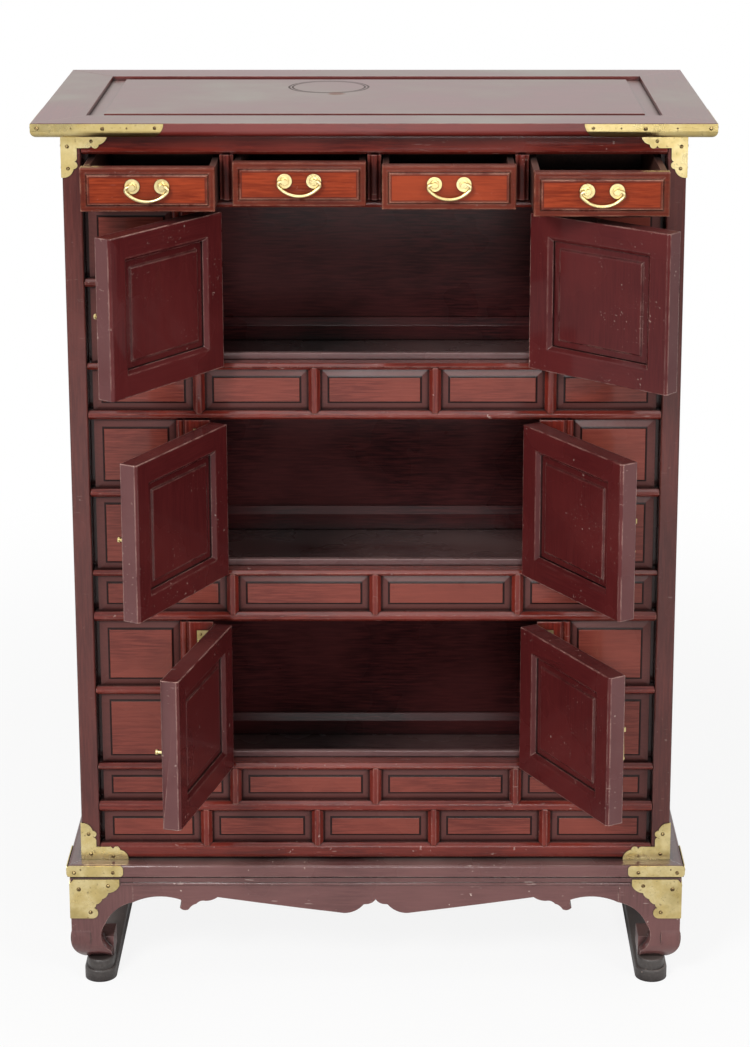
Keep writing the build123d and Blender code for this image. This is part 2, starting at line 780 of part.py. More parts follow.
def knuckle(x, z, height):
    """One hinge knuckle, bored for the pin."""
    with BuildSketch(Plane.XY.offset(z)) as ring:
        with Locations((x, pivot_y)):
            Circle(knuckle_radius)
            Circle(pin_radius + pin_play, mode=Mode.SUBTRACT)
    extrude(ring.sketch, amount=height)


with BuildPart() as case_hinges:
    for tier in tiers:
        for middle in hinge_heights(tier):
            for side in (-1, 1):
                x = side * hinge_x
                leaf = sorted((x + side * leaf_start, x + side * leaf_width))
                block(leaf, (case_front - leaf_thick, case_front), (middle - hinge_height / 2, middle + hinge_height / 2))
                for low in (middle - 1.5 * third, middle + 0.5 * third + 0.15):
                    height = third - 0.15
                    web = sorted((x, x + side * leaf_start))
                    block(web, (pivot_y + 1.9, case_front), (low, low + height))
                    knuckle(x, low, height)
    for tier in tiers:
        for middle in hinge_heights(tier):
            for side in (-1, 1):
                with Locations((side * hinge_x, pivot_y, middle)):
                    Cylinder(pin_radius + pin_play, hinge_height + 2, mode=Mode.SUBTRACT)
keep(case_hinges, "case_hinges")

with BuildPart() as hinge_pins:
    for tier in tiers:
        for middle in hinge_heights(tier):
            for side in (-1, 1):
                with BuildSketch(Plane.XY.offset(middle - hinge_height / 2 - 2)):
                    with Locations((side * hinge_x, pivot_y)):
                        Circle(pin_radius)
                extrude(amount=hinge_height + 2)
                with BuildSketch(Plane.XY.offset(middle + hinge_height / 2)):
                    with Locations((side * hinge_x, pivot_y)):
                        Circle(knuckle_radius - 0.4)
                extrude(amount=1.6)
keep(hinge_pins, "hinge_pins")

# ======== doors =================================================================

door_edge_cut = 3.0
door_panel_thick = 9.0


def turned(part, tier, side, name):
    """A part made at its shut place, turned open about the hinge line."""
    angle = side * open_angles[tier + "_" + name]
    axis = Axis((side * hinge_x, pivot_y, 0), (0, 0, 1))
    return part.rotate(axis, angle)


def door(tier, side, name):
    low, high = tiers[tier]["open"]
    z = (low + door_gap, high - door_gap)
    hang = hinge_x - 0.8
    free = door_gap + 0.1
    face, back = case_front, case_front + door_thick
    label = "door_" + tier + "_" + name
    hang_inner, free_inner = hang - door_stile, free + door_stile
    rail = (z[0] + door_stile, z[1] - door_stile)
    bevel = 5.0
    with BuildPart() as frame_work:
        hang_stile = ((hang, face), (hang_inner, face), (hang_inner, back - bevel), (hang_inner + bevel, back), (hang, back))
        prism(Plane.XY.offset(z[0]), [(side * x, y) for x, y in hang_stile], z[1] - z[0])
        free_stile = (
            (free, face), (free_inner, face), (free_inner, back - bevel), (free_inner - bevel, back),
            (free + door_edge_cut, back), (free, back - door_edge_cut),
        )
        prism(Plane.XY.offset(z[0]), [(side * x, y) for x, y in free_stile], z[1] - z[0])
        for edge, inner, sign in ((z[0], rail[0], 1), (z[1], rail[1], -1)):
            section = ((face, edge), (face, inner), (back - bevel, inner), (back, inner - sign * bevel), (back, edge))
            start = min(side * (free_inner - bevel), side * (hang_inner + bevel))
            prism(Plane.YZ.offset(start), section, hang_inner - free_inner + 2 * bevel)
    with BuildPart() as panel:
        x = sorted((side * free_inner, side * hang_inner))
        block(x, (face + 8, face + 8 + door_panel_thick), rail)
        plane = Plane(origin=((x[0] + x[1]) / 2, face + 8 + door_panel_thick, (rail[0] + rail[1]) / 2),
                      x_dir=(-1, 0, 0), z_dir=(0, 1, 0))
        with BuildSketch(plane):
            Rectangle(x[1] - x[0] - 18, rail[1] - rail[0] - 18)
        extrude(amount=2.0, taper=40)
        outside = Plane(origin=((x[0] + x[1]) / 2, face + 8, (rail[0] + rail[1]) / 2), x_dir=(1, 0, 0), z_dir=(0, -1, 0))
        with BuildSketch(outside):
            Rectangle(x[1] - x[0] - 24, rail[1] - rail[0] - 24)
        extrude(amount=3.0, taper=40)
    for builder, suffix in ((frame_work, "_frame"), (panel, "_panel")):
        builder.part = turned(builder.part, tier, side, name)
        keep(builder, label + suffix)


def door_hinge_leaves(tier, side):
    for middle in hinge_heights(tier):
        x = side * hinge_x
        leaf = sorted((x - side * leaf_start, x - side * leaf_width))
        block(leaf, (case_front - leaf_thick, case_front), (middle - hinge_height / 2, middle + hinge_height / 2))
        web = sorted((x, x - side * leaf_start))
        low, high = middle - third / 2 + 0.15, middle + third / 2
        block(web, (pivot_y + 1.9, case_front), (low, high))
        knuckle(x, low, high - low)
        with Locations((x, pivot_y, middle)):
            Cylinder(pin_radius + pin_play, hinge_height + 2, mode=Mode.SUBTRACT)


handle_x = 16.0              # handle's middle from the door's free edge
plate_size = (24.0, 80.0)
handle_arm = 7.0             # pivot in front of the door's face
handle_pin = 1.5
handle_length = 44.0
lug_gap = 5.0


def door_brass(tier, side, name):
    low, high = tiers[tier]["open"]
    middle = (low + high) / 2
    with BuildPart() as brass:
        door_hinge_leaves(tier, side)
        if name == "right":
            x = side * (handle_x + door_gap)
            with BuildSketch(facing(x, case_front, middle)):
                RectangleRounded(*plate_size, 8)
            extrude(amount=brass_thick)
            pivot_z = middle + 22
            for lug in (-1, 1):
                lug_x = sorted((x + lug * lug_gap / 2, x + lug * (lug_gap / 2 + 2.5)))
                block(lug_x, (case_front - handle_arm - 3, case_front - brass_thick), (pivot_z - 3, pivot_z + 3))
            with Locations(Location((x, case_front - handle_arm, pivot_z), (0, 90, 0))):
                Cylinder(handle_pin, lug_gap + 1)
        else:
            x = side * (10.0 + door_gap)
            with BuildSketch(facing(x, case_front, middle)):
                Circle(7.0)
            extrude(amount=brass_thick)
            with BuildSketch(facing(x, case_front - brass_thick, middle)):
                Circle(2.2)
            extrude(amount=7.0)
            with BuildSketch(facing(x, case_front - brass_thick - 7.0, middle)):
                Circle(3.6)
            extrude(amount=3.0)
    brass.part = turned(brass.part, tier, side, name)
    keep(brass, "door_" + tier + "_" + name + "_brass")
    if name == "right":
        x = side * (handle_x + door_gap)
        pivot_z = middle + 22
        eye = Plane(origin=(x - (lug_gap / 2 - 0.4), case_front - handle_arm, pivot_z), x_dir=(0, 1, 0), z_dir=(1, 0, 0))
        with BuildPart() as handle:
            with BuildSketch(eye):
                with BuildLine():
                    ThreePointArc((-2.2, -2.0), (0, 3.2), (2.2, -2.0))
                    Line((2.2, -2.0), (1.4, -handle_length + 5))
                    ThreePointArc((1.4, -handle_length + 5), (0, -handle_length), (-3.0, -handle_length + 5))
                    Line((-3.0, -handle_length + 5), (-2.2, -2.0))
                make_face()
                Circle(handle_pin + pin_play, mode=Mode.SUBTRACT)
            extrude(amount=lug_gap - 0.8)
        handle.part = turned(handle.part, tier, side, name)
        keep(handle, "door_" + tier + "_" + name + "_handle")


for tier in tiers:
    for side, name in ((-1, "left"), (1, "right")):
        door(tier, side, name)
        door_brass(tier, side, name)

# ======== drawers ===============================================================

drawer_z = (drawer_rail[1] + 0.6, drawer_rail[1] + 0.6 + drawer_height)
front_thick = 18.0
side_thick = 8.0
bottom_thick = 5.0
# raised work on a drawer front: inset from its edge, start behind the face, rise, taper
drawer_steps = ((6.5, 3.0, 1.4, 50), (9.0, 1.6, 1.6, 30))
bail_spread = 18.8
post_radius = 3.8
post_reach = 10.5
bail_wire = 2.1
bail_y = 7.5                 # bail axis in front of the drawer's face
bail_drop = 18.5
bail_round = 34.5            # radius of the bail's long curve
bail_turn = 4.0              # radius of the turns at its ends


def drawer(number, x, out):
    face = case_front - out
    back = face + drawer_depth
    left, right = x - drawer_width / 2, x + drawer_width / 2
    low, high = drawer_z
    middle = (low + high) / 2
    with BuildPart() as front:
        with BuildSketch(facing(x, face + 4.2, middle)):
            Rectangle(drawer_width, drawer_height)
        extrude(amount=-front_thick + 4.2)
        with BuildSketch(facing(x, face + 4.2, middle)):
            Rectangle(drawer_width, drawer_height)
        extrude(amount=1.2, taper=45)
        for inset, start, rise, lean in drawer_steps:
            with BuildSketch(facing(x, face + start, middle)):
                Rectangle(drawer_width - 2 * inset, drawer_height - 2 * inset)
            extrude(amount=rise, taper=lean)
    keep(front, "drawer_" + number + "_front")
    inside = (left + 1 + side_thick, right - 1 - side_thick)
    box = [
        board((left + 1, inside[0]), (face + front_thick, back), (low, high - 4)),
        board((inside[1], right - 1), (face + front_thick, back), (low, high - 4)),
        board(inside, (back - side_thick, back), (low, high - 4)),
        board(inside, (face + front_thick, back - side_thick), (low, low + bottom_thick)),
    ]
    keep_group(box, "drawer_" + number + "_box")
    seat = face
    pull_z = middle + 5.0
    with BuildPart() as posts:
        for step in (-1, 1):
            with BuildSketch(facing(x + step * bail_spread, seat, pull_z)):
                Circle(9.5)
            extrude(amount=1.4)
            with BuildSketch(facing(x + step * bail_spread, seat - 1.4, pull_z)):
                Circle(6.0)
            extrude(amount=1.2, taper=30)
            with BuildSketch(facing(x + step * bail_spread, seat - 2.0, pull_z)):
                Circle(post_radius)
            extrude(amount=post_reach - 2.0)
        with Locations(Location((x, face - bail_y, pull_z), (0, 90, 0))):
            Cylinder(bail_wire + pin_play, 2 * bail_spread + 20, mode=Mode.SUBTRACT)
    keep(posts, "drawer_" + number + "_posts")
    centre = bail_round - bail_drop
    reach = bail_round - bail_turn
    turn_x = (reach ** 2 - (centre + bail_turn) ** 2) ** 0.5
    slope = atan2(-bail_turn - centre, turn_x)
    meet = (bail_round * cos(slope), centre + bail_round * sin(slope))
    turn_slope = (slope + pi / 2) / 2
    turn_mid = (turn_x + bail_turn * cos(turn_slope), -bail_turn + bail_turn * sin(turn_slope))
    pin_end = bail_spread - 3.0
    with BuildPart() as bail:
        plane = facing(x, face - bail_y, pull_z)
        with BuildLine(plane) as route:
            Line((-pin_end, 0), (-turn_x, 0))
            ThreePointArc((-turn_x, 0), (-turn_mid[0], turn_mid[1]), (-meet[0], meet[1]))
            ThreePointArc((-meet[0], meet[1]), (0, -bail_drop), meet)
            ThreePointArc(meet, turn_mid, (turn_x, 0))
            Line((turn_x, 0), (pin_end, 0))
        with BuildSketch(Plane(origin=(x - pin_end, face - bail_y, pull_z), z_dir=(-1, 0, 0))):
            Circle(bail_wire)
        sweep(path=route.wire())
    keep(bail, "drawer_" + number + "_bail")


for number, (x, out) in enumerate(zip(drawer_centres, drawer_out), start=1):
    drawer(str(number), x, out)
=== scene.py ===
import json
import math

import bmesh
import bpy
from mathutils import Matrix, Vector


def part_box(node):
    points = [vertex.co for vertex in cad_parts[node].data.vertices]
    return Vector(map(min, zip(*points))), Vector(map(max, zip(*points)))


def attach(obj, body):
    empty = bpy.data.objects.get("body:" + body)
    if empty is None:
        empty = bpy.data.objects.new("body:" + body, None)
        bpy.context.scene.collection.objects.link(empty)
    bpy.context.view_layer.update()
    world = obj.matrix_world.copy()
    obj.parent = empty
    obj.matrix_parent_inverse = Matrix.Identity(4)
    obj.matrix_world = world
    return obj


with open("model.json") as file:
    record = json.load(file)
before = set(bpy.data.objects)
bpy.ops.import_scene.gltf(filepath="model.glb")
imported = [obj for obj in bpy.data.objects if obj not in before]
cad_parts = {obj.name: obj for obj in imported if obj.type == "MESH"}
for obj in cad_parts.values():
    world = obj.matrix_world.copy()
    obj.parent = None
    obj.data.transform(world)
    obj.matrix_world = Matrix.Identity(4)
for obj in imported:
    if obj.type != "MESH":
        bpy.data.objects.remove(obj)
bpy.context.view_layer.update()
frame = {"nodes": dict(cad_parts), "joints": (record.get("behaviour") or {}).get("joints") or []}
print("frame loaded:", len(frame["nodes"]), "nodes")

jointByName = {joint["name"]: joint for joint in frame["joints"]}
mm = 0.001


# small helpers for building node trees

def node(tree, kind, sockets=None, **settings):
    # sockets: values or other nodes' outputs, by input name or number
    made = tree.nodes.new(kind)
    for key, value in settings.items():
        setattr(made, key, value)
    for key, value in (sockets or {}).items():
        if isinstance(value, bpy.types.NodeSocket):
            tree.links.new(value, made.inputs[key])
        else:
            made.inputs[key].default_value = value
    return made


def maths(tree, operation, a, b=0.0, clamp=False):
    return node(tree, "ShaderNodeMath", {0: a, 1: b}, operation=operation, use_clamp=clamp).outputs[0]


def vectors(tree, operation, a, b=(0.0, 0.0, 0.0), c=(0.0, 0.0, 0.0)):
    # the vector result; the operations that give one number have it in the "Value" output
    made = node(tree, "ShaderNodeVectorMath", {0: a, 1: b, 2: c}, operation=operation)
    single = operation in ("DOT_PRODUCT", "DISTANCE", "LENGTH")
    return made.outputs["Value" if single else "Vector"]


def along(tree, place, axis):
    return node(tree, "ShaderNodeSeparateXYZ", {0: place}).outputs[axis]


def openness(tree, distance):
    # 1 in the open, less where other surfaces stand within the distance
    return node(tree, "ShaderNodeAmbientOcclusion", {"Distance": distance}, samples=4).outputs["AO"]


def ramp(tree, value, low, high, start=0.0, end=1.0):
    # smooth step from start to end as value goes from low to high
    sockets = {"Value": value, "From Min": low, "From Max": high, "To Min": start, "To Max": end}
    return node(tree, "ShaderNodeMapRange", sockets, interpolation_type="SMOOTHSTEP").outputs[0]


def noise(tree, place, scale, detail=3.0, rough=0.55, distort=0.0):
    sockets = {"Vector": place, "Scale": scale, "Detail": detail, "Roughness": rough, "Distortion": distort}
    return node(tree, "ShaderNodeTexNoise", sockets).outputs["Fac"]


def blend(tree, amount, a, b):
    sockets = {0: amount, 6: rgba(a), 7: rgba(b)}
    return node(tree, "ShaderNodeMix", sockets, data_type="RGBA").outputs[2]


def blendVectors(tree, amount, a, b):
    return node(tree, "ShaderNodeMix", {0: amount, 4: a, 5: b}, data_type="VECTOR").outputs[1]


def rgba(colour):
    return colour if isinstance(colour, bpy.types.NodeSocket) else (*colour, 1.0)


def surface(name):
    # a new material with its tree and its shader
    material = bpy.data.materials.new(name)
    material.use_nodes = True
    tree = material.node_tree
    return material, tree, tree.nodes["Principled BSDF"]


def objectPlace(tree):
    return node(tree, "ShaderNodeTexCoord").outputs["Object"]


def stretched(tree, place, axis, ratio=16.0):
    # squeezes the pattern across the axis, so that noise turns into streaks along it
    scale = tuple(1.0 if letter == axis else ratio for letter in "XYZ")
    return node(tree, "ShaderNodeMapping", {"Vector": place, "Scale": scale}).outputs[0]


# wood finishes: deep and warm are the grain's two colours; the third colour is that of rubbed arrises and
# also paints their highlight; then come how strongly the figure, the rubbing with its highlight, dust with
# the sheen it paints on what faces up, chips and the painted shade of recesses show; arris, groove and bump
# replace what grainLook gives, and a matt finish loses its gloss where it is marked

lacquers = {
    "plum": dict(
        deep=(0.058, 0.015, 0.014), warm=(0.130, 0.032, 0.026), wornAndHighlight=(0.50, 0.28, 0.23), figure=0.70,
        rough=0.24, coat=0.32, coatRough=0.10, specular=0.20, wearAndHighlight=0.80, dustAndSheen=0.14, chips=0.15,
    ),
    "plinth": dict(
        deep=(0.072, 0.024, 0.024), warm=(0.165, 0.066, 0.062), wornAndHighlight=(0.62, 0.42, 0.36), figure=0.50,
        rough=0.24, coat=0.62, coatRough=0.10, specular=0.25, wearAndHighlight=0.60, dustAndSheen=0.22, chips=0.90,
        groove=10 * mm, paintedShade=0.85,
    ),
    "russet": dict(
        deep=(0.060, 0.006, 0.005), warm=(0.185, 0.022, 0.013), wornAndHighlight=(0.66, 0.36, 0.28), figure=0.90,
        rough=0.20, coat=0.50, coatRough=0.07, specular=0.10, wearAndHighlight=0.40, dustAndSheen=0.08, chips=0.35,
        arris=2.6 * mm,
    ),
    "cherry": dict(
        deep=(0.120, 0.013, 0.005), warm=(0.310, 0.046, 0.014), wornAndHighlight=(0.66, 0.36, 0.25), figure=0.90,
        rough=0.20, coat=0.35, coatRough=0.06, specular=0.08, wearAndHighlight=0.90, dustAndSheen=0.10, chips=0.10,
        arris=2.4 * mm,
    ),
    "panel": dict(
        deep=(0.080, 0.015, 0.012), warm=(0.225, 0.050, 0.034), wornAndHighlight=(0.60, 0.36, 0.29), figure=0.70,
        rough=0.22, coat=0.25, coatRough=0.08, specular=0.12, wearAndHighlight=0.12, dustAndSheen=0.15,
    ),
    "oxblood": dict(
        deep=(0.045, 0.006, 0.007), warm=(0.098, 0.014, 0.014), wornAndHighlight=(0.60, 0.38, 0.32), figure=0.45,
        rough=0.24, coat=0.28, coatRough=0.05, specular=0.10, wearAndHighlight=1.00, dustAndSheen=0.04, chips=0.35,
        arris=2.4 * mm,
    ),
    "top": dict(
        deep=(0.088, 0.010, 0.009), warm=(0.165, 0.021, 0.016), wornAndHighlight=(0.46, 0.27, 0.20), figure=0.70,
        rough=0.36, coat=0.30, coatRough=0.32, specular=0.30, wearAndHighlight=0.60, dustAndSheen=0.52, groove=7 * mm,
        paintedShade=0.00, dustAndSheenTint=(0.33, 0.37, 0.31), bump=0.015, matt=True,
    ),
    "inside": dict(
        deep=(0.022, 0.007, 0.009), warm=(0.125, 0.026, 0.026), wornAndHighlight=(0.20, 0.10, 0.09), figure=1.10,
        rough=0.28, coat=0.25, coatRough=0.16, specular=0.15, wearAndHighlight=0.20, dustAndSheen=0.08,
    ),
    "shelf": dict(
        deep=(0.070, 0.030, 0.030), warm=(0.150, 0.070, 0.068), wornAndHighlight=(0.34, 0.20, 0.18), figure=0.80,
        rough=0.24, coat=0.50, coatRough=0.10, specular=0.25, wearAndHighlight=0.60, dustAndSheen=0.16, paintedShade=0.20,
    ),
    "drawerBoards": dict(
        deep=(0.045, 0.017, 0.013), warm=(0.110, 0.042, 0.030), wornAndHighlight=(0.34, 0.19, 0.15), figure=1.00,
        rough=0.50, coat=0.10, coatRough=0.30, specular=0.30, wearAndHighlight=0.70, dustAndSheen=0.10,
    ),
    "runner": dict(
        deep=(0.034, 0.029, 0.027), warm=(0.085, 0.074, 0.070), wornAndHighlight=(0.40, 0.35, 0.32), figure=0.70,
        rough=0.42, coat=0.25, coatRough=0.25, specular=0.30, wearAndHighlight=0.80, dustAndSheen=0.30, chips=0.60,
    ),
}
# on the last line: the reach and strength of the painted shade in recesses, the dark colour of old wax in the
# grooves that is also the colour of that painted shade, and the colour of dust on what faces up, which also
# paints its sheen
grainLook = dict(
    scale=24.0, fine=130.0, cloud=6.0, patch=38.0, bump=0.05, depth=0.6 * mm, arris=1.7 * mm, groove=3.5 * mm,
    shade=26 * mm, paintedShade=0.80, waxAndShade=(0.010, 0.004, 0.004), dustAndSheen=(0.46, 0.37, 0.33),
)
chipLook = dict(scale=150.0, cluster=16.0, scratch=40.0, ratio=9.0, faint=0.6, colour=(0.62, 0.48, 0.42))


def grainColour(tree, finish, streak, fine, cloud):
    swing = 0.38 * finish["figure"]
    figure = ramp(tree, streak, 0.34, 0.70, 0.5 - swing, 0.5 + swing)
    colour = blend(tree, figure, finish["deep"], finish["warm"])
    colour = blend(tree, ramp(tree, fine, 0.56, 0.76, 0.0, 0.25), colour, finish["deep"])
    return blend(tree, ramp(tree, cloud, 0.40, 0.68, 0.0, 0.65), colour, finish["warm"])


def chipped(tree, place, colour, amount):
    # small chips and long scratches, in clusters
    spots = ramp(tree, noise(tree, place, chipLook["scale"], 2.0, 0.5), 0.70, 0.74)
    near = ramp(tree, noise(tree, place, chipLook["cluster"], 2.0), 0.50, 0.60)
    drawn = noise(tree, stretched(tree, place, "X", chipLook["ratio"]), chipLook["scratch"], 2.0, 0.5)
    scratches = ramp(tree, drawn, 0.68, 0.73, 0.0, chipLook["faint"])
    spots = maths(tree, "MAXIMUM", spots, scratches)
    shown = maths(tree, "MULTIPLY", maths(tree, "MULTIPLY", spots, near), amount)
    return blend(tree, shown, colour, chipLook["colour"])


def lacquer(name, finish, grain, extra=None):
    # glossy lacquer over grain, with rubbed arrises that also paint their highlight, painted shade in
    # recesses and between parts, old wax in the grooves darkened further by painted shade, and dust on what
    # faces up that also paints its sheen;
    # extra adds marks of its own and says how sound the gloss is there
    material, tree, shader = surface(name)
    place = objectPlace(tree)
    grained = grain(tree, place)
    streak = noise(tree, grained, grainLook["scale"], 6.0, 0.62, 0.25)
    fine = noise(tree, grained, grainLook["fine"], 3.0, 0.6)
    cloud = noise(tree, place, grainLook["cloud"], 3.0)
    colour = grainColour(tree, finish, streak, fine, cloud)
    sound = 1.0
    markedLast = "matt" in finish
    if extra and not markedLast:
        colour, sound = extra(tree, place, colour)

    normal = node(tree, "ShaderNodeNewGeometry").outputs["Normal"]
    reach = finish.get("arris", grainLook["arris"])
    rounded = node(tree, "ShaderNodeBevel", {"Radius": reach}, samples=4).outputs[0]
    edge = ramp(tree, vectors(tree, "DOT_PRODUCT", rounded, normal), 0.995, 0.88)
    patches = ramp(tree, noise(tree, place, grainLook["patch"], 4.0, 0.65), 0.34, 0.60)
    crisp = openness(tree, finish.get("groove", grainLook["groove"]))
    wide = openness(tree, grainLook["shade"])
    reached = maths(tree, "MULTIPLY", patches, ramp(tree, crisp, 0.78, 0.94))
    # rubbed arrises, lighter where worn, which also paints the highlight that runs along them
    rubbed = maths(tree, "MULTIPLY", maths(tree, "MULTIPLY", edge, reached), finish["wearAndHighlight"], True)
    colour = blend(tree, rubbed, colour, finish["wornAndHighlight"])
    if "chips" in finish:
        colour = chipped(tree, place, colour, finish["chips"])
    # painted shade: the colour darkens where other surfaces stand within a few centimetres, in recesses and
    # between parts
    paintedShadeShown = ramp(tree, wide, 0.85, 0.40, 0.0, finish.get("paintedShade", grainLook["paintedShade"]))
    colour = blend(tree, paintedShadeShown, colour, grainLook["waxAndShade"])
    # old wax in the grooves, and with it painted shade: a dark line wherever another surface stands within a
    # few millimetres, in grooves and at the foot of steps
    waxAndShadeShown = ramp(tree, crisp, 0.86, 0.55, 0.0, 0.85)
    colour = blend(tree, waxAndShadeShown, colour, grainLook["waxAndShade"])
    # dust on what faces up, which also paints the sheen those faces catch from above
    facingUp = ramp(tree, along(tree, normal, "Z"), 0.6, 0.95)
    dustAndSheenLaid = maths(tree, "MULTIPLY", facingUp, ramp(tree, cloud, 0.30, 0.75))
    dustAndSheenShown = maths(tree, "MULTIPLY", dustAndSheenLaid, finish["dustAndSheen"])
    colour = blend(tree, dustAndSheenShown, colour, finish.get("dustAndSheenTint", grainLook["dustAndSheen"]))
    if extra and markedLast:
        colour, sound = extra(tree, place, colour)

    uneven = ramp(tree, cloud, 0.3, 0.7, finish["rough"] - 0.05, finish["rough"] + 0.08)
    roughness = maths(tree, "ADD", uneven, maths(tree, "MULTIPLY", rubbed, 0.25))
    swell = maths(tree, "ADD", maths(tree, "MULTIPLY", streak, 0.6), maths(tree, "MULTIPLY", fine, 0.3))
    relief = maths(tree, "SUBTRACT", swell, maths(tree, "MULTIPLY", rubbed, 0.8))
    strength = finish.get("bump", grainLook["bump"])
    sockets = {"Strength": strength, "Distance": grainLook["depth"], "Height": relief, "Normal": rounded}
    bump = node(tree, "ShaderNodeBump", sockets)
    tree.links.new(colour, shader.inputs["Base Color"])
    tree.links.new(roughness, shader.inputs["Roughness"])
    tree.links.new(bump.outputs[0], shader.inputs["Normal"])
    tree.links.new(rounded, shader.inputs["Coat Normal"])
    shader.inputs["Coat Roughness"].default_value = finish["coatRough"]
    shader.inputs["Specular IOR Level"].default_value = finish["specular"]
    shader.inputs["Coat Weight"].default_value = finish["coat"]
    if isinstance(sound, bpy.types.NodeSocket):
        tree.links.new(maths(tree, "MULTIPLY", sound, finish["coat"]), shader.inputs["Coat Weight"])
        if markedLast:
            gloss = maths(tree, "MULTIPLY", sound, finish["specular"])
            tree.links.new(gloss, shader.inputs["Specular IOR Level"])
    return material


def straightGrain(axis, ratio=16.0):
    return lambda tree, place: stretched(tree, place, axis, ratio)


def mitredGrain(xHalf, yLow, yHigh):
    # front and back members run along X, side members along Y, parted on the mitres
    def grain(tree, place):
        x, y = along(tree, place, "X"), along(tree, place, "Y")
        sideGap = maths(tree, "SUBTRACT", xHalf, maths(tree, "ABSOLUTE", x))
        endGap = maths(tree, "MINIMUM", maths(tree, "SUBTRACT", y, yLow), maths(tree, "SUBTRACT", yHigh, y))
        atSide = maths(tree, "LESS_THAN", sideGap, endGap)
        return blendVectors(tree, atSide, stretched(tree, place, "X"), stretched(tree, place, "Y"))
    return grain


doorLook = dict(stile=35 * mm, width=218 * mm, faded=(0.135, 0.062, 0.062), fading=0.72)


def doorAngle(door):
    # how far a door stands open at rest, from its joint's lower limit
    return math.radians(-jointByName[door + "_hinge"]["range_deg"][0])


def doorGrain(door, side, low, high):
    # stiles run up and down, the rails between them run across the leaf
    pivot = Vector(jointByName[door + "_hinge"]["pos_m"])
    opened = side * doorAngle(door)
    stile, width = doorLook["stile"], doorLook["width"]
    middle, half = (low + high) / 2, (high - low) / 2 - stile

    def grain(tree, place):
        moved = vectors(tree, "SUBTRACT", place, pivot)
        sockets = {"Vector": moved, "Angle": -opened}
        leaf = node(tree, "ShaderNodeVectorRotate", sockets, rotation_type="Z_AXIS").outputs[0]
        across = maths(tree, "ABSOLUTE", along(tree, leaf, "X"))
        away = maths(tree, "ABSOLUTE", maths(tree, "SUBTRACT", along(tree, place, "Z"), middle))
        atEnd = maths(tree, "GREATER_THAN", away, half)
        between = maths(tree, "MULTIPLY", maths(tree, "GREATER_THAN", across, stile),
                        maths(tree, "LESS_THAN", across, width - stile))
        railHere = maths(tree, "MULTIPLY", atEnd, between)
        return blendVectors(tree, railHere, stretched(tree, leaf, "Z"), stretched(tree, leaf, "X"))
    return grain


def fadedEdges(door, side):
    # the narrow edges of a door have gone greyer than its faces
    opened = side * doorAngle(door)
    across = (math.cos(opened), math.sin(opened), 0.0)

    def extra(tree, place, colour):
        normal = node(tree, "ShaderNodeTexCoord").outputs["Normal"]
        facing = maths(tree, "ABSOLUTE", vectors(tree, "DOT_PRODUCT", normal, across))
        faded = ramp(tree, facing, 0.80, 0.97, 0.0, doorLook["fading"])
        patchy = ramp(tree, noise(tree, place, 9.0, 4.0, 0.6), 0.25, 0.60, 0.65, 1.0)
        return blend(tree, maths(tree, "MULTIPLY", faded, patchy), colour, doorLook["faded"]), 1.0
    return extra


# painted recess shade on the fronts: its colour, strength and reach, the border a drawer's rim also darkens,
# and where the painted shadow line lies
frontRecessShade = {
    "panel": dict(colour=(0.088, 0.038, 0.036), amount=0.75, depth=1.5 * mm, line=1.95 * mm),
    "drawer": dict(colour=(0.035, 0.012, 0.012), amount=0.60, depth=1.6 * mm, border=13 * mm),
}


def recessShade(name, shading):
    # the mouldings behind a front's foremost face are painted darker and lose gloss, as painted shade in the
    # recesses, and so does the border round its rim; line is how far back a painted shadow line goes, at the
    # foot of the step round the field
    low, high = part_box(name)
    middle, half = (low + high) / 2, (high - low) / 2
    front = low[1]

    def extra(tree, place, colour):
        y = along(tree, place, "Y")
        shadedBack = ramp(tree, y, front + 0.15 * shading["depth"], front + shading["depth"])
        if "border" in shading:
            gaps = []
            for axis, number in (("X", 0), ("Z", 2)):
                away = maths(tree, "SUBTRACT", along(tree, place, axis), middle[number])
                gaps.append(maths(tree, "SUBTRACT", half[number], maths(tree, "ABSOLUTE", away)))
            rim = ramp(tree, maths(tree, "MINIMUM", *gaps), shading["border"], shading["border"] - 0.6 * mm)
            shadedBack = maths(tree, "MAXIMUM", shadedBack, rim)
        colour = blend(tree, maths(tree, "MULTIPLY", shadedBack, shading["amount"]), colour, shading["colour"])
        # painted shadow line at the foot of the step round the field
        if "line" in shading:
            end = front + shading["line"]
            foot = maths(tree, "MULTIPLY", ramp(tree, y, front + 0.2 * mm, front + 0.5 * mm),
                         ramp(tree, y, end, end - 0.15 * mm))
            colour = blend(tree, maths(tree, "MULTIPLY", foot, 0.9), colour, grainLook["waxAndShade"])
        return colour, maths(tree, "SUBTRACT", 1.0, maths(tree, "MULTIPLY", shadedBack, 0.75))
    return extra


# the top carries the mark of a wet cup, and a brown smudge in front of it
cupMark = dict(
    centre=(-0.0656, 0.075), radius=52.5 * mm, width=2.1 * mm, parting=2.4 * mm, sway=3 * mm,
    colour=(0.040, 0.018, 0.015), inside=(0.15, 0.075, 0.06),
    smudge=(-0.0526, 0.0176), smudgeSize=(15 * mm, 19 * mm), smudgeColour=(0.20, 0.085, 0.055),
)


